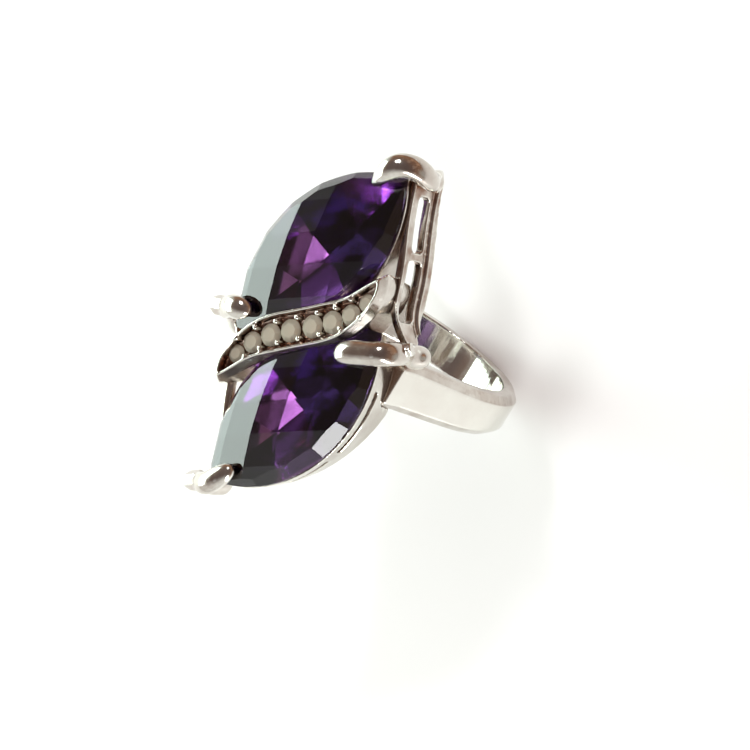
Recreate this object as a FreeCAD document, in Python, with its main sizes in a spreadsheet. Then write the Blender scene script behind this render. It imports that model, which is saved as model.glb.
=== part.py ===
import FreeCAD, Part
import math
import os

import Sketcher
from FreeCAD import Placement, Rotation, Vector

# Millimetres. Y is the finger axis, Z points out of the face of the ring, the origin is the bore centre.
SIZES = {
    "bore_radius": 8.75,
    "finger_clearance": 0.25,
    "band_outer_radius": 10.25,
    "band_back_width": 3.0,
    "band_shoulder_width": 4.3,
    "deck_height": 10.0,
    "deck_half_length": 7.8,
    "band_edge_bevel": 0.6,
    "girdle_height": 12.75,
    "girdle_thickness": 0.3,
    "stone_half_length": 9.56,
    "stone_half_width": 5.02,
    "crown_rise": 1.75,
    "pavilion_drop": 2.7,
    "stone_turn": 19.85,
    "stone_along": 4.31,
    "stone_across": 4.33,
    "setting_bottom": 8.3,
    "setting_top": 12.6,
    "wall_bottom": 8.55,
    "wall_top": 12.2,
    "wall_gauge": 0.7,
    "ribbon_bottom": 10.0,
    "ribbon_shelf": 13.6,
    "ribbon_crest": 14.55,
    "channel_floor": 13.6,
    "rail_overlap": 0.35,
    "grain_radius": 0.24,
}

doc = FreeCAD.newDocument("CocktailRing")
sheet = doc.addObject("Spreadsheet::Sheet", "Sizes")
for row, (name, value) in enumerate(SIZES.items(), start=1):
    sheet.set("A%d" % row, name)
    sheet.set("B%d" % row, str(value))
    sheet.setAlias("B%d" % row, name)
doc.recompute()


def size(name):
    return float(sheet.get(name))


GIRDLE = size("girdle_height")
HALF_GIRDLE = size("girdle_thickness") / 2
LONG = size("stone_half_length")
WIDE = size("stone_half_width")
TURN = math.radians(size("stone_turn"))
LONG_AXIS = Vector(math.sin(TURN), math.cos(TURN), 0)
WIDE_AXIS = Vector(math.cos(TURN), -math.sin(TURN), 0)
STONE_CENTRE = LONG_AXIS * size("stone_along") - WIDE_AXIS * size("stone_across")

# Checkerboard crown: spacing of the facet centres and the dome they touch.
FACET_LONG = 2.25
FACET_WIDE = 1.55
DOME_LONG = 0.0192
DOME_WIDE = 0.0405
EDGE_TIER_SLOPE = math.radians(50)
EDGE_TIER_FACETS = 6
PAVILION_UPPER_SLOPE = math.radians(44)
PAVILION_LOWER_SLOPE = math.radians(30)
PAVILION_FACETS = 5

# Row of round crystals on one half of the ribbon: centre x, centre y and diameter.
HALF_ROW = ((0.78, 0.69, 1.86), (2.18, 1.98, 1.84), (3.32, 3.38, 1.70), (4.05, 4.93, 1.45))
# Ribbon centre line from the middle to its point, with the half width there.
HALF_RIBBON = (
    (0.78, 0.69, 1.90),
    (2.16, 2.02, 1.87),
    (3.24, 3.45, 1.62),
    (3.92, 5.05, 1.30),
    (4.22, 6.50, 0.85),
    (4.25, 7.85, 0.0),
)
# Gallery wall centre line, from the tip claw to the side claw.
WALL_PATH = (
    (0.85, 14.70),
    (1.60, 12.80),
    (2.60, 10.80),
    (3.45, 9.30),
    (4.20, 7.80),
    (4.85, 6.20),
    (5.60, 4.80),
    (6.50, 4.00),
    (7.40, 3.45),
)
# Openings in the gallery wall: start, end, lowest height and opening height.
WALL_SLOTS = (
    ((1.20, 13.50), (3.30, 9.60), 9.8, 1.5),
    ((3.60, 9.00), (5.75, 4.70), 9.7, 1.9),
)

# Where the checkerboard of each stone starts, along and across it.
UPPER_CUT = (1.35, 0.64)
LOWER_CUT = (1.57, 0.0)

# Claw path points with the half width and half thickness of the oval section there.
UPPER_RIGHT_CLAW = (
    (1.20, 14.95, 9.60, 0.80, 0.70),
    (1.65, 15.25, 11.00, 0.85, 0.75),
    (1.92, 15.45, 12.20, 0.92, 0.78),
    (1.40, 15.75, 13.40, 1.00, 0.76),
    (0.45, 15.38, 14.25, 1.00, 0.66),
    (-0.42, 14.25, 14.40, 0.86, 0.50),
    (-0.94, 13.35, 13.98, 0.58, 0.38),
    (-1.20, 12.88, 13.72, 0.34, 0.24),
)
LOWER_RIGHT_CLAW = (
    (7.50, 2.90, 9.00, 0.85, 0.75),
    (8.20, 3.10, 11.20, 0.90, 0.80),
    (8.55, 3.25, 12.60, 0.88, 0.66),
    (8.60, 3.15, 13.70, 0.95, 0.66),
    (8.10, 2.75, 14.40, 1.00, 0.68),
    (6.90, 1.95, 14.62, 1.00, 0.60),
    (5.44, 1.12, 14.60, 0.98, 0.54),
    (4.60, 0.55, 14.45, 0.74, 0.42),
    (4.24, 0.32, 14.26, 0.38, 0.24),
)
LOWER_LEFT_CLAW = (
    (-1.50, -15.10, 9.60, 0.80, 0.70),
    (-1.85, -15.45, 11.20, 0.90, 0.76),
    (-1.75, -15.40, 12.40, 0.86, 0.62),
    (-1.00, -15.10, 13.30, 0.90, 0.65),
    (-0.05, -14.55, 14.00, 0.95, 0.65),
    (0.80, -13.40, 14.25, 0.90, 0.52),
    (1.25, -12.55, 14.25, 0.62, 0.40),
    (1.40, -12.20, 14.18, 0.35, 0.22),
)
UPPER_LEFT_CLAW = (
    (-7.55, -3.00, 9.60, 0.80, 0.70),
    (-8.10, -3.10, 11.30, 0.90, 0.76),
    (-7.95, -2.95, 12.40, 0.86, 0.62),
    (-7.40, -2.60, 13.30, 0.90, 0.65),
    (-6.60, -2.10, 14.00, 0.95, 0.65),
    (-5.50, -1.65, 14.30, 0.90, 0.52),
    (-5.00, -1.40, 14.15, 0.62, 0.40),
    (-4.80, -1.26, 14.00, 0.35, 0.22),
)

# Cast ends of the claws: start of a six-sided stub, which way it points, its radius and length.
CLAW_STUBS = {
    "claw_lower_right": ((8.10, 2.90, 13.40), (1.15, 1.20, -0.50), 0.62, 1.75),
    "claw_lower_left": ((-1.50, -15.10, 12.80), (-1.25, -0.80, -0.70), 0.86, 1.65),
    "claw_upper_left": ((-7.50, -2.60, 13.00), (-1.40, -0.60, -0.50), 0.86, 1.60),
}
# Small round bead under the point of the far tip claw.
BEAD = (-1.10, 12.82, 13.58, 0.30)


def plane_of(body, role):
    return next(f for f in body.Origin.OriginFeatures if f.Role == role)


def sketch_on(body, role, name):
    sketch = body.newObject("Sketcher::SketchObject", name)
    sketch.AttachmentSupport = (plane_of(body, role), [""])
    sketch.MapMode = "FlatFace"
    return sketch


def add_outline(sketch, points):
    """Closed run of straight lines, joined end to end."""
    first = sketch.GeometryCount
    pairs = list(zip(points, points[1:] + points[:1]))
    for start, end in pairs:
        sketch.addGeometry(Part.LineSegment(Vector(*start, 0), Vector(*end, 0)), False)
    for i in range(len(pairs)):
        here = first + i
        following = first + (i + 1) % len(pairs)
        sketch.addConstraint(Sketcher.Constraint("Coincident", here, 2, following, 1))


def make_shank():
    """Closed band, straight tangent shoulders up to a flat deck under the head."""
    body = doc.addObject("PartDesign::Body", "shank")
    inner = size("bore_radius")
    outer = size("band_outer_radius")
    lift = math.radians(20)
    tangent_run = 4.9
    low = (outer * math.cos(lift), outer * math.sin(lift))
    high = (low[0] - tangent_run * math.sin(lift), low[1] + tangent_run * math.cos(lift))
    deck = (size("deck_half_length"), size("deck_height"))

    side = sketch_on(body, "XZ_Plane", "side_profile")
    circle = Part.Circle(Vector(0, 0, 0), Vector(0, 0, 1), outer)
    side.addGeometry(Part.ArcOfCircle(circle, math.pi - lift, 2 * math.pi + lift), False)
    corners = [low, high, deck, (-deck[0], deck[1]), (-high[0], high[1]), (-low[0], low[1])]
    for start, end in zip(corners, corners[1:]):
        side.addGeometry(Part.LineSegment(Vector(*start, 0), Vector(*end, 0)), False)
    side.addGeometry(Part.Circle(Vector(0, 0, 0), Vector(0, 0, 1), inner), False)
    last = len(corners) - 1
    side.addConstraint(Sketcher.Constraint("Coincident", 0, 2, 1, 1))
    for i in range(1, last):
        side.addConstraint(Sketcher.Constraint("Coincident", i, 2, i + 1, 1))
    side.addConstraint(Sketcher.Constraint("Coincident", last, 2, 0, 1))
    side.addConstraint(Sketcher.Constraint("Coincident", 0, 3, -1, 1))
    side.addConstraint(Sketcher.Constraint("Coincident", last + 1, 3, -1, 1))
    bore_index = side.addConstraint(Sketcher.Constraint("Radius", last + 1, inner))
    side.renameConstraint(bore_index, "bore_radius")
    side.setExpression("Constraints.bore_radius", "Sizes.bore_radius")
    band_index = side.addConstraint(Sketcher.Constraint("Radius", 0, outer))
    side.renameConstraint(band_index, "band_radius")
    side.setExpression("Constraints.band_radius", "Sizes.band_outer_radius")

    pad = body.newObject("PartDesign::Pad", "band")
    pad.Profile = side
    pad.Midplane = True
    pad.setExpression("Length", "Sizes.band_shoulder_width")
    doc.recompute()
    full = body.Shape.Volume

    taper = sketch_on(body, "YZ_Plane", "width_taper")
    back = size("band_back_width") / 2
    front = size("band_shoulder_width") / 2
    for side_sign in (1, -1):
        add_outline(
            taper,
            [
                (side_sign * back, -outer - 1),
                (side_sign * front, size("deck_height") - 1),
                (side_sign * (front + 1), size("deck_height") - 1),
                (side_sign * (front + 1), -outer - 1),
            ],
        )
    pocket = body.newObject("PartDesign::Pocket", "taper")
    pocket.Profile = taper
    pocket.Type = 1
    pocket.Midplane = True
    doc.recompute()
    if body.Shape.Volume > full - 1:
        raise RuntimeError("the taper removed nothing")

    bevel = body.newObject("PartDesign::Chamfer", "edge_bevels")
    bevel.Base = (pocket, outer_edges(pocket.Shape, inner))
    bevel.setExpression("Size", "Sizes.band_edge_bevel")
    body.Tip = bevel
    doc.recompute()
    return body


def outer_edges(shape, inner):
    """Names of the long edges where the outside of the band meets its two sides."""
    names = []
    for i, edge in enumerate(shape.Edges, start=1):
        middle = edge.valueAt((edge.FirstParameter + edge.LastParameter) / 2)
        away = math.hypot(middle.x, middle.z)
        runs_along = edge.tangentAt((edge.FirstParameter + edge.LastParameter) / 2).y
        if abs(middle.y) > 1.2 and away > inner + 0.6 and abs(runs_along) < 0.5:
            if middle.z < size("deck_height") - 0.3:
                names.append("Edge%d" % i)
    return names


def feature(name, shape):
    """Document object that holds a shape no primitive or sketch describes."""
    item = doc.addObject("Part::Feature", name)
    item.Shape = shape
    return item


def cut_chain(name, base, tools):
    """Base with every tool cut away in turn, kept as parametric cuts."""
    current = base
    for i, tool in enumerate(tools):
        cut = doc.addObject("Part::Cut", "%s_step%d" % (name, i))
        cut.Base = current
        cut.Tool = tool
        current = cut
    doc.recompute()
    current.Label = name
    return current


def half_turned(name, source):
    """The same piece turned half a turn about the face axis."""
    item = doc.addObject("Part::Feature", name)
    shape = source.Shape.copy()
    shape.rotate(Vector(0, 0, 0), Vector(0, 0, 1), 180)
    item.Shape = shape
    item.Label = name
    return item


def cut_above(shape, point, normal):
    """Shape without everything in front of the plane through point."""
    normal = Vector(normal)
    normal.normalize()
    reach = 60
    slab = Part.makeBox(reach, reach, reach, Vector(-reach / 2, -reach / 2, 0))
    slab.Placement = Placement(point, Rotation(Vector(0, 0, 1), normal)).multiply(slab.Placement)
    return shape.cut(slab)


def arc_radius(long, wide):
    return (long * long + wide * wide) / (2 * wide)


def half_width_at(along, grow=0.0):
    """Half width of the pointed oval at a distance along it, grown all round."""
    radius = arc_radius(LONG, WIDE)
    return math.sqrt((radius + grow) ** 2 - along * along) - (radius - WIDE)


def tip_reach(grow):
    radius = arc_radius(LONG, WIDE)
    return math.sqrt((radius + grow) ** 2 - (radius - WIDE) ** 2)


def oval_wire(height, grow):
    """Pointed oval of the upper stone at a height, grown or shrunk all round."""
    reach = tip_reach(grow)
    wide = half_width_at(0, grow)
    centre = Vector(STONE_CENTRE.x, STONE_CENTRE.y, height)
    near = centre - LONG_AXIS * reach
    far = centre + LONG_AXIS * reach
    right = Part.Arc(near, centre + WIDE_AXIS * wide, far).toShape()
    left = Part.Arc(far, centre - WIDE_AXIS * wide, near).toShape()
    return Part.Wire([right, left])


def arc_point(along, side, height):
    """Point on the girdle arc and the direction straight out from it."""
    radius = arc_radius(LONG, WIDE)
    angle = math.asin(along / radius)
    wide = radius * math.cos(angle) - (radius - WIDE)
    point = STONE_CENTRE + LONG_AXIS * along + WIDE_AXIS * (side * wide)
    outward = WIDE_AXIS * (side * math.cos(angle)) + LONG_AXIS * math.sin(angle)
    return Vector(point.x, point.y, height), outward


def tier(shape, count, slope, height, inset, upward):
    """Cut one row of flat facets along both arcs of the girdle."""
    for side in (1, -1):
        for i in range(count):
            along = LONG * 0.97 * ((i + 0.5) / count * 2 - 1)
            point, outward = arc_point(along, side, height)
            normal = outward * math.sin(slope) + Vector(0, 0, upward * math.cos(slope))
            shape = cut_above(shape, point - outward * inset, normal)
    return shape


def make_marquise(name, cut_start):
    """Pointed oval stone: checkerboard dome above the girdle, faceted keel below."""
    top = GIRDLE + HALF_GIRDLE
    bottom = GIRDLE - HALF_GIRDLE
    rise = size("crown_rise")
    drop = size("pavilion_drop")
    face = Part.Face(oval_wire(bottom - drop, 0))
    shape = face.extrude(Vector(0, 0, drop + 2 * HALF_GIRDLE + rise + 1))
    for i in range(-5, 5):
        for j in range(-4, 4):
            along = cut_start[0] + i * FACET_LONG
            across = cut_start[1] + j * FACET_WIDE
            if (i + j) % 2 or abs(across) > WIDE + 1 or abs(along) > LONG:
                continue
            height = top + rise - DOME_LONG * along**2 - DOME_WIDE * across**2
            centre = STONE_CENTRE + LONG_AXIS * along + WIDE_AXIS * across
            normal = LONG_AXIS * (2 * DOME_LONG * along) + WIDE_AXIS * (2 * DOME_WIDE * across)
            shape = cut_above(shape, Vector(centre.x, centre.y, height), normal + Vector(0, 0, 1))
    shape = tier(shape, EDGE_TIER_FACETS, EDGE_TIER_SLOPE, top, 0, 1)
    shape = tier(shape, PAVILION_FACETS, PAVILION_UPPER_SLOPE, bottom, 0, -1)
    shape = tier(shape, PAVILION_FACETS - 1, PAVILION_LOWER_SLOPE, bottom, 0.55, -1)
    return feature(name, shape.cut(ribbon_core()))


def make_crystal(name, x, y, diameter):
    """Small round brilliant with an eight-sided table."""
    radius = diameter / 2
    seat = size("channel_floor") + 0.12
    girdle = 0.06
    shape = Part.makeCylinder(radius, 2 * radius, Vector(0, 0, -1.15 * radius))
    for i in range(8):
        angle = math.radians(45 * i + 22.5)
        outward = Vector(math.cos(angle), math.sin(angle), 0)
        for slope, height, upward in ((38, girdle, 1), (42, 0, -1)):
            tilt = math.radians(slope)
            normal = outward * math.sin(tilt) + Vector(0, 0, upward * math.cos(tilt))
            shape = cut_above(shape, outward * radius + Vector(0, 0, height), normal)
    shape = cut_above(shape, Vector(0, 0, girdle + 0.32 * radius), Vector(0, 0, 1))
    shape = cut_above(shape, Vector(0, 0, -0.62 * radius), Vector(0, 0, -1))
    shape.translate(Vector(x, y, seat))
    item = feature(name, shape)
    item.Label = name
    return item


def centre_line():
    """Ribbon centre line with half widths, point to point through the middle."""
    far_half = [(-x, -y, half) for x, y, half in reversed(HALF_RIBBON)]
    return far_half + list(HALF_RIBBON)


def ribbon_wire(height, shrink):
    """Closed outline of the S ribbon at a height, drawn in by shrink all round."""
    line = centre_line()
    length = len(line)
    left, right = [], []
    for i in range(1, length - 1):
        x, y, half = line[i]
        along = Vector(line[i + 1][0] - line[i - 1][0], line[i + 1][1] - line[i - 1][1], 0)
        along.normalize()
        across = Vector(along.y, -along.x, 0)
        reach = max(half - shrink, 0.06)
        right.append(Vector(x, y, height) + across * reach)
        left.append(Vector(x, y, height) - across * reach)
    start = Vector(line[0][0], line[0][1] + 1.6 * shrink, height)
    end = Vector(line[-1][0], line[-1][1] - 1.6 * shrink, height)
    edges = []
    for points in ([start] + right + [end], [end] + left[::-1] + [start]):
        curve = Part.BSplineCurve()
        curve.interpolate(points)
        edges.append(curve.toShape())
    return Part.Wire(edges)


def ribbon_core():
    """Room the ribbon takes between the stones, apart from the lip that overlaps them."""
    face = Part.Face(ribbon_wire(size("ribbon_bottom") - 1, size("rail_overlap")))
    return face.extrude(Vector(0, 0, 8))


def loft(lower, upper):
    return Part.makeLoft([lower, upper], True, True)


def make_ribbon_blank():
    """Raised S-shaped channel with sloping rails, before the crystal seats are cut."""
    shelf = size("ribbon_shelf")
    crest = size("ribbon_crest")
    body = loft(ribbon_wire(size("ribbon_bottom"), 0.35), ribbon_wire(shelf, 0.0))
    rails = loft(ribbon_wire(shelf, 0.0), ribbon_wire(crest, 0.42))
    trough = Part.Face(ribbon_wire(size("channel_floor"), 0.58)).extrude(Vector(0, 0, 2))
    shape = body.fuse(rails).removeSplitter().cut(trough)
    for sign in (1, -1):
        for (ax, ay, _), (bx, by, _) in zip(HALF_ROW, HALF_ROW[1:]):
            shape = shape.fuse(grain_pair((sign * ax, sign * ay), (sign * bx, sign * by)))
    first = HALF_ROW[0]
    shape = shape.fuse(grain_pair((first[0], first[1]), (-first[0], -first[1])))
    return feature("ribbon_blank", shape)


def grain_pair(one, other):
    """Two round-topped studs of metal that pinch the gap between neighbouring crystals."""
    foot = size("channel_floor") - 0.1
    tall = size("ribbon_crest") - foot - 0.02
    radius = size("grain_radius")
    middle = Vector((one[0] + other[0]) / 2, (one[1] + other[1]) / 2, foot)
    along = Vector(other[0] - one[0], other[1] - one[1], 0)
    along.normalize()
    across = Vector(along.y, -along.x, 0)
    studs = []
    for side in (1, -1):
        stud = Part.makeCylinder(radius, tall, middle + across * (side * 0.86))
        rim = [e for e in stud.Edges if e.BoundBox.ZMin > foot + tall - 0.01]
        studs.append(stud.makeFillet(0.6 * radius, rim))
    return studs[0].fuse(studs[1])


def make_claw_blank(name, path):
    """Hooked claw: oval sections along a bent path, from its foot to a rounded point."""
    points = [Vector(*row[:3]) for row in path]
    sections = []
    for i, (x, y, z, wide, thick) in enumerate(path):
        before = points[max(i - 1, 0)]
        after = points[min(i + 1, len(points) - 1)]
        along = after - before
        if i < 2:
            along = Vector(0, 0, 1)
        along.normalize()
        inward = Vector(points[-1].x - points[0].x, points[-1].y - points[0].y, 0)
        across = inward.cross(Vector(0, 0, 1))
        across.normalize()
        oval = doc.addObject("Part::Ellipse", "%s_section%d" % (name, i))
        oval.MajorRadius = wide
        oval.MinorRadius = thick
        turn = Rotation(across, along.cross(across), along, "ZXY")
        oval.Placement = Placement(Vector(x, y, z), turn)
        sections.append(oval)
    item = doc.addObject("Part::Loft", name)
    item.Sections = sections
    item.Solid = True
    item.Ruled = False
    doc.recompute()
    return item


def make_stub(name, start, pointing, radius, length):
    """Six-sided stub of metal left on the outside of a claw."""
    stub = doc.addObject("Part::Prism", name)
    stub.Polygon = 6
    stub.Circumradius = radius
    stub.Height = length
    stub.Placement = Placement(Vector(*start), Rotation(Vector(0, 0, 1), Vector(*pointing)))
    return stub


def make_bead(name, x, y, z, radius):
    bead = doc.addObject("Part::Sphere", name)
    bead.Radius = radius
    bead.Placement = Placement(Vector(x, y, z), Rotation())
    return bead


def joined(name, first, second):
    both = doc.addObject("Part::Fuse", name)
    both.Base = first
    both.Tool = second
    doc.recompute()
    return both


def make_claw(name, path, neighbours):
    """Claw with its stub or bead, let into the stone, ribbon and band beside it."""
    hook = make_claw_blank(name + "_hook", path)
    if name in CLAW_STUBS:
        fitted = cut_chain(name + "_fitted", hook, neighbours)
        claw = joined(name, fitted, make_stub(name + "_stub", *CLAW_STUBS[name]))
        claw.Label = name
        return claw
    beaded = joined(name + "_beaded", hook, make_bead(name + "_bead", *BEAD))
    return cut_chain(name, beaded, neighbours)


def finger_room():
    """Cylinder kept clear for the finger."""
    radius = size("bore_radius") + size("finger_clearance")
    return Part.makeCylinder(radius, 40, Vector(0, -20, 0), Vector(0, 1, 0))


def make_setting_blank():
    """Tapered pointed-oval wall under the upper stone, shallower towards the far tip."""
    top = size("setting_top")
    bottom = size("setting_bottom")
    outside = loft(oval_wire(bottom, -0.6), oval_wire(top, 0.05))
    inside = loft(oval_wire(bottom - 1, -1.45), oval_wire(top + 1, -0.6))
    shape = outside.cut(inside)
    shape = cut_above(shape, Vector(0, 2.7, bottom), Vector(0, 0.31, -1))
    for low, high in ((-6.4, -0.6), (0.6, 4.6)):
        shape = shape.cut(side_slot(low, high))
    return feature("setting_blank", shape.cut(finger_room()))


def side_slot(low, high):
    """Long narrow opening through the outer wall between two places along the stone."""
    middle = (low + high) / 2
    point, outward = arc_point(middle, -1, GIRDLE - 1.25)
    along = Vector(0, 0, 1).cross(outward)
    length = high - low
    box = Part.makeBox(length, 2.4, 0.55, Vector(-length / 2, -1.4, -0.27))
    turn = Rotation(along, outward, Vector(0, 0, 1), "ZXY")
    box.Placement = Placement(point, turn)
    return box


def strip_wire(path, half, height):
    """Closed outline of a strip of even width along a curved path."""
    points = [Vector(x, y, height) for x, y in path]
    left, right = [], []
    for i, point in enumerate(points):
        along = points[min(i + 1, len(points) - 1)] - points[max(i - 1, 0)]
        along.normalize()
        across = Vector(along.y, -along.x, 0)
        right.append(point + across * half)
        left.append(point - across * half)
    edges = []
    for side in (right, left):
        curve = Part.BSplineCurve()
        curve.interpolate(side)
        edges.append(curve.toShape())
    ends = [Part.makeLine(right[-1], left[-1]), Part.makeLine(left[0], right[0])]
    return Part.Wire([edges[0], ends[0], edges[1], ends[1]])


def make_wall_blank():
    """Curved gallery wall from the tip claw to the side claw, pierced by two slots."""
    bottom = size("wall_bottom")
    face = Part.Face(strip_wire(WALL_PATH, size("wall_gauge") / 2, bottom))
    wall = face.extrude(Vector(0, 0, size("wall_top") - bottom))
    foot = Part.Face(strip_wire(WALL_PATH, 0.95 * size("wall_gauge"), bottom))
    wall = wall.fuse(foot.extrude(Vector(0, 0, 0.8))).removeSplitter()
    wall = cut_above(wall, Vector(0, 6.0, bottom), Vector(0, -0.45, -1))
    wall = cut_above(wall, Vector(0, 6.0, size("wall_top")), Vector(0, -0.40, 1))
    for start, end, low, height in WALL_SLOTS:
        wall = wall.cut(rounded_slot(start, end, low, height))
    return feature("wall_blank", wall.cut(finger_room()))


def rounded_slot(start, end, low, height):
    """Slot tool with rounded corners, cutting through a wall from start to end."""
    along = Vector(end[0] - start[0], end[1] - start[1], 0)
    length = along.Length
    along.normalize()
    tool = Part.makeBox(length, 2.4, height, Vector(0, -1.2, 0))
    uprights = [e for e in tool.Edges if abs(e.tangentAt(0).y) > 0.9]
    tool = tool.makeFillet(0.4, uprights)
    turn = Rotation(along, Vector(-along.y, along.x, 0), Vector(0, 0, 1), "ZXY")
    tool.Placement = Placement(Vector(start[0], start[1], low), turn)
    return tool


def check(items):
    for item in items:
        state = item.State
        if "Invalid" in state or "Error" in state:
            raise RuntimeError("%s is in state %s" % (item.Label, state))
        shape = item.Shape
        if shape.isNull() or not shape.isValid() or len(shape.Solids) != 1:
            raise RuntimeError("%s: valid %s, solids %d" % (item.Label, shape.isValid(), len(shape.Solids)))


def main():
    shank = make_shank()

    upper_stone = make_marquise("upper_marquise_stone", UPPER_CUT)
    far_stone = make_marquise("far_marquise_blank", LOWER_CUT)
    lower_stone = half_turned("lower_marquise_stone", far_stone)
    stones = [upper_stone, lower_stone]

    row = [(-x, -y, d) for x, y, d in reversed(HALF_ROW)] + list(HALF_ROW)
    crystals = [make_crystal("crystal_%d" % i, *spot) for i, spot in enumerate(row, start=1)]

    ribbon = cut_chain("crystal_ribbon", make_ribbon_blank(), crystals + stones + [shank])

    claws = []
    for name, path, stone in (
        ("claw_upper_right", UPPER_RIGHT_CLAW, upper_stone),
        ("claw_lower_right", LOWER_RIGHT_CLAW, lower_stone),
        ("claw_lower_left", LOWER_LEFT_CLAW, lower_stone),
        ("claw_upper_left", UPPER_LEFT_CLAW, upper_stone),
    ):
        claws.append(make_claw(name, path, [stone, ribbon, shank]))

    blank = make_setting_blank()
    upper_setting = cut_chain("upper_setting", blank, [upper_stone, ribbon, shank] + claws)
    far_blank = half_turned("far_setting_blank", blank)
    lower_setting = cut_chain("lower_setting", far_blank, [lower_stone, ribbon, shank] + claws)

    blank = make_wall_blank()
    wall_tools = claws + [ribbon, shank, upper_setting, lower_setting] + stones
    upper_wall = cut_chain("upper_gallery_wall", blank, wall_tools)
    lower_wall = cut_chain("lower_gallery_wall", half_turned("far_wall_blank", blank), wall_tools)

    pieces = [shank, ribbon, upper_setting, lower_setting, upper_wall, lower_wall]
    pieces += claws + stones + crystals
    doc.recompute()
    check(pieces)
    os.makedirs("parts", exist_ok=True)
    for piece in pieces:
        piece.Shape.exportStep("parts/%s.step" % piece.Label)
        print(piece.Label, "%.2f mm3" % piece.Shape.Volume)


main()
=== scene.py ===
import math

import bpy
from mathutils import Matrix, Vector


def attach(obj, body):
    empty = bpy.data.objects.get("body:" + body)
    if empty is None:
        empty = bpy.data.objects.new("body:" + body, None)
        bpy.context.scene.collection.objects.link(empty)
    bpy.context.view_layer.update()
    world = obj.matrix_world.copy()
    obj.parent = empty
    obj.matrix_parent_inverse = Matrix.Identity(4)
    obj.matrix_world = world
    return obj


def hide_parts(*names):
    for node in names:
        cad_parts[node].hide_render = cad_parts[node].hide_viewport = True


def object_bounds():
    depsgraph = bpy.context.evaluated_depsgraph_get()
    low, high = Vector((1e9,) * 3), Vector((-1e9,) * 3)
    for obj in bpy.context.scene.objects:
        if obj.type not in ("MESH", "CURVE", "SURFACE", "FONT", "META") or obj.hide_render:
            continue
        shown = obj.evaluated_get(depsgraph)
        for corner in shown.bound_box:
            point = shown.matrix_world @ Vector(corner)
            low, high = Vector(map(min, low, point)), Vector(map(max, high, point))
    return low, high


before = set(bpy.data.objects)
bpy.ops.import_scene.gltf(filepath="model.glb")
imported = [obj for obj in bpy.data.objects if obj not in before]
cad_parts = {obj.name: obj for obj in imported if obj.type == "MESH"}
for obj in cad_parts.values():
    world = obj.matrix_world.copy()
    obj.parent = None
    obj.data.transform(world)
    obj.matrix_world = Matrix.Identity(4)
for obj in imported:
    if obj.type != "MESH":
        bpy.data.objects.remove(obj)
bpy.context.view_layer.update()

MM = 0.001
# Everything below these heights counts as the back of a stone or of a small crystal.
STONE_BACK = 12.63 * MM
CRYSTAL_BACK_TOP = 13.67 * MM
# Grid and smoothing rounds that soften the edges of the cast metal.
CAST_GRID = 0.09 * MM
CAST_ROUNDS = 4
METAL_NODES = (
    "shank", "crystal_ribbon", "upper_setting", "lower_setting", "upper_gallery_wall", "lower_gallery_wall",
    "claw_upper_right", "claw_lower_right", "claw_lower_left", "claw_upper_left",
)
STONES = ("upper_marquise_stone", "lower_marquise_stone")
CRYSTALS = tuple("crystal_%d" % i for i in range(1, 9))

# Camera: where it stands round the ring, how far it is rolled, its distance and its lens.
CAMERA_AZIMUTH = math.radians(23.4)
CAMERA_ELEVATION = math.radians(55.4)
CAMERA_ROLL = math.radians(-78.7)
CAMERA_DISTANCE = 608 * MM
CAMERA_AIM_RIGHT = -1.92 * MM
CAMERA_AIM_UP = -2.10 * MM
CAMERA_LENS = 365.0
CAMERA_SENSOR = 36.0
CAMERA_CLIP = 0.01

FLOOR_HALF_WIDTH = 0.9
LIGHT_TARGET = Vector((0, 0, 8 * MM))

SILVER_COLOUR = (0.80, 0.795, 0.74, 1)
# Brown painted into the metal: painted shade in recesses and painted reflection on flats and side faces.
PAINTED_SHADE_AND_REFLECTION_COLOUR = (0.21, 0.10, 0.058, 1)


# ---------------------------------------------------------------- materials

class Nodes:
    """Small helper that adds nodes to a material and links them."""

    def __init__(self, name):
        self.material = bpy.data.materials.new(name)
        self.material.use_nodes = True
        self.tree = self.material.node_tree
        self.tree.nodes.clear()
        self.out = self.add("ShaderNodeOutputMaterial")

    def add(self, kind, inputs=None, **settings):
        node = self.tree.nodes.new(kind)
        for key, value in settings.items():
            setattr(node, key, value)
        for key, value in (inputs or {}).items():
            self.put(value, node.inputs[key])
        return node

    def put(self, value, socket):
        if isinstance(value, bpy.types.NodeSocket):
            self.tree.links.new(value, socket)
        elif isinstance(value, bpy.types.Node):
            self.tree.links.new(value.outputs[0], socket)
        else:
            socket.default_value = value

    def math(self, operation, a, b=0.0, clamp=False):
        node = self.add("ShaderNodeMath", operation=operation, use_clamp=clamp)
        self.put(a, node.inputs[0])
        self.put(b, node.inputs[1])
        return node.outputs[0]

    def mix(self, factor, a, b):
        node = self.add("ShaderNodeMix", data_type="RGBA")
        self.put(factor, node.inputs[0])
        self.put(a, node.inputs[6])
        self.put(b, node.inputs[7])
        return node.outputs[2]

    def ramp(self, value, stops):
        node = self.add("ShaderNodeValToRGB", {0: value})
        ramp = node.color_ramp
        while len(ramp.elements) < len(stops):
            ramp.elements.new(0.5)
        for element, (place, colour) in zip(ramp.elements, stops):
            element.position = place
            element.color = colour if len(colour) == 4 else (*colour, 1.0)
        return node.outputs[0]

    def noise(self, scale, detail=4.0, rough=0.5, offset=(0, 0, 0)):
        place = self.add("ShaderNodeTexCoord").outputs["Object"]
        moved = self.add("ShaderNodeMapping", {"Vector": place, "Location": offset})
        return self.add("ShaderNodeTexNoise", {
            "Vector": moved, "Scale": scale, "Detail": detail, "Roughness": rough,
        })


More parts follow.
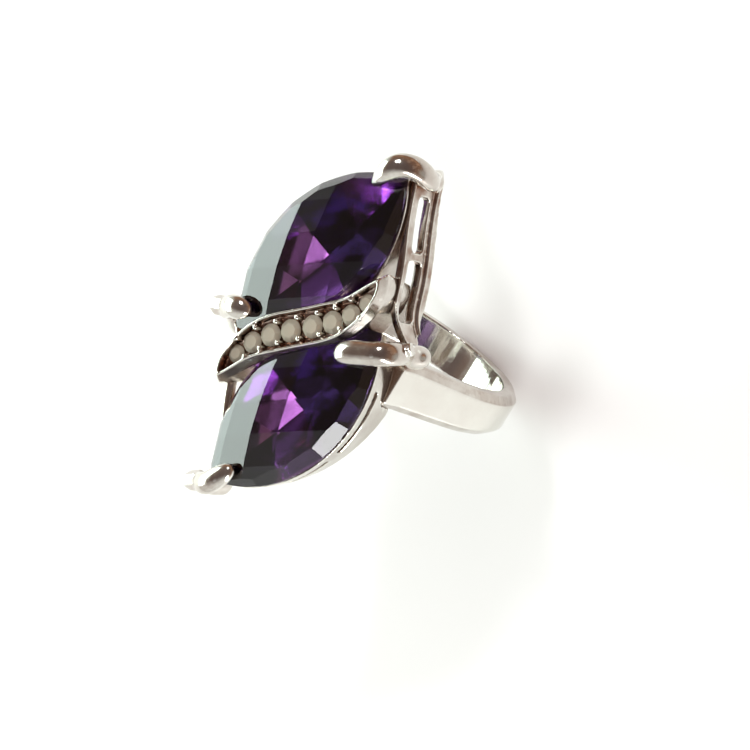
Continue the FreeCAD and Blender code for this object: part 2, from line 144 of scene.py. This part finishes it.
def silver(name, recess_painted_shade, flat_painted_reflection, rough, side_painted_reflection=0.0):
    """Silver plating: bright edges, brown painted shade in recesses, brown painted reflection on flats and
    side faces, fine cast waviness.
    """
    n = Nodes(name)
    grain = n.noise(2600.0, 5.0, 0.6).outputs[0]
    waves = n.noise(420.0, 3.0, 0.5, (3, 1, 2)).outputs[0]
    blotch = n.noise(300.0, 5.0, 0.6, (7, 5, 1)).outputs[0]
    # Painted shade and reflection: recesses found by ambient occlusion take the brown colour and more
    # roughness.
    occlusion = n.add("ShaderNodeAmbientOcclusion", {"Distance": 0.0014}, samples=6).outputs["AO"]
    recess_shade = n.ramp(occlusion, [(0.0, (1, 1, 1)), (0.45, (0.6, 0.6, 0.6)), (0.85, (0, 0, 0))])
    # Painted reflection: flat faces, found by pointiness, take the brown colour in random patches.
    convex = n.add("ShaderNodeNewGeometry").outputs["Pointiness"]
    flat = n.ramp(convex, [(0.505, (1, 1, 1)), (0.54, (0, 0, 0))])
    patch = n.ramp(blotch, [(0.34, (0.25, 0.25, 0.25)), (0.60, (1, 1, 1))])
    flat_reflection = n.math("MULTIPLY", n.math("MULTIPLY", flat, patch), flat_painted_reflection)
    painted_light = n.math("ADD", n.math("MULTIPLY", recess_shade, recess_painted_shade), flat_reflection, True)
    # Painted reflection: faces turned towards +Y or -Y take the brown colour in random patches.
    if side_painted_reflection:
        facing = n.add("ShaderNodeNewGeometry").outputs["Normal"]
        sideways = n.math("ABSOLUTE", n.add("ShaderNodeSeparateXYZ", {0: facing}).outputs[1])
        side_reflection = n.ramp(sideways, [(0.30, (0, 0, 0)), (0.62, (1, 1, 1))])
        side_reflection = n.math("MULTIPLY", n.math("MULTIPLY", side_reflection, patch), side_painted_reflection)
        painted_light = n.math("ADD", painted_light, side_reflection, True)
    colour = n.mix(painted_light, SILVER_COLOUR, PAINTED_SHADE_AND_REFLECTION_COLOUR)
    roughness = n.math("ADD", rough, n.math("MULTIPLY", grain, 0.08))
    roughness = n.math("ADD", roughness, n.math("MULTIPLY", painted_light, 0.14))
    height = n.math("ADD", n.math("MULTIPLY", grain, 0.25), waves)
    bump = n.add("ShaderNodeBump", {"Strength": 0.12, "Distance": 0.00012, "Height": height})
    shader = n.add("ShaderNodeBsdfPrincipled", {
        "Base Color": colour, "Metallic": 1.0, "Roughness": roughness,
    })
    n.put(bump.outputs[0], shader.inputs["Normal"])
    n.put(shader, n.out.inputs[0])
    return n.material


def facet_number(n, seed):
    """Steady random number for each flat facet, taken from the way the facet faces."""
    facing = n.add("ShaderNodeNewGeometry").outputs["True Normal"]
    steps = n.add("ShaderNodeVectorMath", {0: facing, 1: (0.02, 0.02, 0.02)}, operation="SNAP")
    moved = n.add("ShaderNodeVectorMath", {0: steps, 1: (seed, 0, 0)}, operation="ADD")
    return n.add("ShaderNodeTexWhiteNoise", {"Vector": moved}, noise_dimensions="3D").outputs["Value"]


def gem(name, tint, back_tones, density, absorb, ior, back_top, shine, seed, haze, haze_colour):
    """Cut glass with a hazy film in front, facets of different tone behind, colour that deepens inside."""
    n = Nodes(name)
    place = n.add("ShaderNodeTexCoord").outputs["Object"]
    height = n.add("ShaderNodeSeparateXYZ", {0: place}).outputs[2]
    behind = n.math("LESS_THAN", height, back_top)
    scratches = n.noise(900.0, 4.0, 0.6).outputs[0]
    rough = n.math("MULTIPLY", n.ramp(scratches, [(0.55, (0, 0, 0)), (0.8, (1, 1, 1))]), 0.06)
    glass = n.add("ShaderNodeBsdfPrincipled", {
        "Base Color": tint, "Roughness": rough, "IOR": ior, "Transmission Weight": 1.0,
    })
    tone = n.ramp(facet_number(n, seed), back_tones)
    drift = n.noise(230.0, 3.0, 0.5, (2, 4, 6)).outputs[0]
    clouds = n.ramp(drift, [(0.35, (0.6, 0.6, 0.6)), (0.65, (1, 1, 1))])
    product = n.add("ShaderNodeMix", {0: 1.0, 6: tone, 7: clouds}, data_type="RGBA", blend_type="MULTIPLY")
    shade = product.outputs[2]
    mirror = n.add("ShaderNodeBsdfPrincipled", {"Base Color": shade, "Metallic": 1.0, "Roughness": shine})
    film = n.add("ShaderNodeBsdfPrincipled", {"Base Color": haze_colour, "Roughness": 0.25})
    face = n.add("ShaderNodeMixShader", {0: haze, 1: glass, 2: film})
    both = n.add("ShaderNodeMixShader", {0: behind, 1: face, 2: mirror})
    n.put(both, n.out.inputs["Surface"])
    volume = n.add("ShaderNodeVolumeAbsorption", {"Color": absorb, "Density": density})
    n.put(volume, n.out.inputs["Volume"])
    return n.material


def plain(name, colour, rough):
    n = Nodes(name)
    cloud = n.noise(14.0, 3.0).outputs[0]
    shade = n.mix(n.math("MULTIPLY", cloud, 0.06), colour, [0.9 * c for c in colour[:3]] + [1])
    shader = n.add("ShaderNodeBsdfPrincipled", {"Base Color": shade, "Roughness": rough})
    n.put(shader, n.out.inputs[0])
    return n.material


def give(obj, material):
    obj.data.materials.clear()
    obj.data.materials.append(material)


# ---------------------------------------------------------------- soft cast metal

def cast_copy(node):
    """Softened copy of a CAD solid: edges rounded as a polished casting has them."""
    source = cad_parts[node]
    mesh = source.data.copy()
    piece = bpy.data.objects.new(node + "_cast", mesh)
    bpy.context.scene.collection.objects.link(piece)
    mesh.materials.clear()
    remesh = piece.modifiers.new("remesh", "REMESH")
    remesh.mode = "VOXEL"
    remesh.voxel_size = CAST_GRID
    smooth = piece.modifiers.new("smooth", "SMOOTH")
    smooth.factor = 0.5
    smooth.iterations = CAST_ROUNDS
    graph = bpy.context.evaluated_depsgraph_get()
    final = bpy.data.meshes.new_from_object(piece.evaluated_get(graph))
    piece.modifiers.clear()
    piece.data = final
    for face in final.polygons:
        face.use_smooth = True
    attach(piece, "root")
    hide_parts(node)
    return piece


# Painted shade in the recesses, painted reflection on the flats and roughness of each metal piece; the band
# also has painted reflection on its side faces.
PAINTED_LIGHT_AND_ROUGHNESS = {
    "shank": (0.45, 0.12, 0.05, 0.45), "crystal_ribbon": (0.70, 0.50, 0.09),
    "upper_setting": (0.7, 0.35, 0.07), "lower_setting": (0.7, 0.35, 0.07),
    "upper_gallery_wall": (0.9, 0.95, 0.08), "lower_gallery_wall": (0.9, 0.95, 0.08),
    "claw_upper_right": (0.6, 0.50, 0.06), "claw_lower_right": (0.6, 0.42, 0.06),
    "claw_lower_left": (0.7, 0.50, 0.07), "claw_upper_left": (0.7, 0.50, 0.07),
}
for node in METAL_NODES:
    piece = cast_copy(node)
    give(piece, silver("silver_" + node, *PAINTED_LIGHT_AND_ROUGHNESS[node]))

VIOLET_BACK = [
    (0.0, (0.05, 0.04, 0.09)), (0.34, (0.10, 0.07, 0.17)), (0.48, (0.42, 0.27, 0.56)),
    (0.62, (0.16, 0.10, 0.26)), (0.74, (0.48, 0.31, 0.24)), (0.86, (0.26, 0.16, 0.38)),
    (0.95, (0.8, 0.68, 0.9)),
]
CRYSTAL_BACK = [(0.0, (0.45, 0.43, 0.36)), (0.5, (0.75, 0.72, 0.62)), (0.9, (1.0, 0.98, 0.92))]
amethyst = gem(
    "amethyst", tint=(0.88, 0.72, 0.92, 1), back_tones=VIOLET_BACK, density=150.0,
    absorb=(0.60, 0.34, 0.76, 1), ior=1.62, back_top=STONE_BACK, shine=0.10, seed=3.0,
    haze=0.0, haze_colour=(0, 0, 0, 1),
)
crystal = gem(
    "champagne_crystal", tint=(0.95, 0.93, 0.86, 1), back_tones=CRYSTAL_BACK, density=60.0,
    absorb=(0.9, 0.86, 0.75, 1), ior=1.52, back_top=CRYSTAL_BACK_TOP, shine=0.25, seed=5.0,
    haze=0.46, haze_colour=(0.85, 0.80, 0.65, 1),
)
for node in STONES:
    give(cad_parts[node], amethyst)
for node in CRYSTALS:
    give(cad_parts[node], crystal)


# ---------------------------------------------------------------- stage, light, camera

def add_floor():
    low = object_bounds()[0][2]
    size = FLOOR_HALF_WIDTH
    mesh = bpy.data.meshes.new("floor")
    corners = [(-size, -size, low), (size, -size, low), (size, size, low), (-size, size, low)]
    mesh.from_pydata(corners, [], [(0, 1, 2, 3)])
    floor = bpy.data.objects.new("floor", mesh)
    bpy.context.scene.collection.objects.link(floor)
    give(floor, plain("pale_floor", (0.97, 0.97, 0.975, 1), 0.5))


def add_light(name, direction, distance, size, power, colour=(1, 1, 1), mirrored=True):
    data = bpy.data.lights.new(name, "AREA")
    data.shape = "RECTANGLE"
    data.size, data.size_y = size
    data.energy = power
    data.color = colour
    lamp = bpy.data.objects.new(name, data)
    away = Vector(direction).normalized()
    lamp.location = away * distance + LIGHT_TARGET
    lamp.rotation_euler = away.to_track_quat("Z", "Y").to_euler()
    lamp.visible_glossy = mirrored
    bpy.context.scene.collection.objects.link(lamp)


def add_world():
    """Room round the ring: warm dark walls and ceiling, pale walls towards -Y, -X and, dimmer, +X."""
    world = bpy.data.worlds.new("studio")
    bpy.context.scene.world = world
    world.use_nodes = True
    tree = world.node_tree
    tree.nodes.clear()

    def add(kind, **settings):
        node = tree.nodes.new(kind)
        for key, value in settings.items():
            setattr(node, key, value)
        return node

    def band(socket, stops):
        ramp = add("ShaderNodeValToRGB")
        tree.links.new(socket, ramp.inputs[0])
        ramp.color_ramp.elements[0].position = stops[0]
        ramp.color_ramp.elements[1].position = stops[1]
        return ramp.outputs[0]

    def turned(direction):
        dot = add("ShaderNodeVectorMath", operation="DOT_PRODUCT")
        tree.links.new(place, dot.inputs[0])
        dot.inputs[1].default_value = direction
        return dot.outputs["Value"]

    def mixed(factor, first, second):
        mix = add("ShaderNodeMix", data_type="RGBA")
        tree.links.new(factor, mix.inputs[0])
        for socket, value in ((mix.inputs[6], first), (mix.inputs[7], second)):
            if isinstance(value, tuple):
                socket.default_value = value
            else:
                tree.links.new(value, socket)
        return mix.outputs[2]

    place = add("ShaderNodeTexCoord").outputs["Generated"]
    colour = mixed(band(turned((0, 0, 1)), (0.25, 0.85)), (0.34, 0.19, 0.12, 1), (0.15, 0.11, 0.10, 1))
    colour = mixed(band(turned((0.25, -1.0, 0.0)), (0.25, 0.70)), colour, (0.95, 0.95, 0.92, 1))
    colour = mixed(band(turned((-0.95, -0.25, 0.1)), (0.78, 0.93)), colour, (0.80, 0.88, 0.85, 1))
    colour = mixed(band(turned((0.9, 0.3, -0.1)), (0.80, 0.95)), colour, (0.55, 0.55, 0.52, 1))
    back = add("ShaderNodeBackground")
    tree.links.new(colour, back.inputs[0])
    out = add("ShaderNodeOutputWorld")
    tree.links.new(back.outputs[0], out.inputs[0])


def camera_turn():
    """Camera axes from its azimuth, elevation and roll: image right, image up, towards the viewer."""
    back = Vector((math.cos(CAMERA_AZIMUTH), math.sin(CAMERA_AZIMUTH), 0)) * math.cos(CAMERA_ELEVATION)
    back.z = math.sin(CAMERA_ELEVATION)
    level = Vector((-math.sin(CAMERA_AZIMUTH), math.cos(CAMERA_AZIMUTH), 0))
    upright = back.cross(level)
    right = level * math.cos(CAMERA_ROLL) + upright * math.sin(CAMERA_ROLL)
    return right, back.cross(right), back


def add_camera():
    data = bpy.data.cameras.new("camera")
    data.sensor_width = CAMERA_SENSOR
    data.lens = CAMERA_LENS
    data.clip_start = CAMERA_CLIP
    camera = bpy.data.objects.new("camera", data)
    right, up, back = camera_turn()
    turn = Matrix((right, up, back)).transposed().to_4x4()
    place = right * CAMERA_AIM_RIGHT + up * CAMERA_AIM_UP + back * CAMERA_DISTANCE
    camera.matrix_world = Matrix.Translation(place) @ turn
    bpy.context.scene.collection.objects.link(camera)
    bpy.context.scene.camera = camera


add_floor()
add_world()
add_light("floor_light", (-0.35, 0.25, 1.0), 0.60, (0.5, 0.5), 0.6, mirrored=False)
add_light("key_spot", (-0.35, 0.55, 1.0), 0.35, (0.06, 0.06), 0.35)
add_light("left_softbox", (-0.84, -0.345, 0.33), 0.33, (0.30, 0.20), 1.1, (0.86, 1.0, 0.94))
add_light("right_strip", (1.0, -0.6, 0.55), 0.30, (0.06, 0.26), 0.5)
add_camera()
bpy.context.scene.view_settings.view_transform = "Standard"
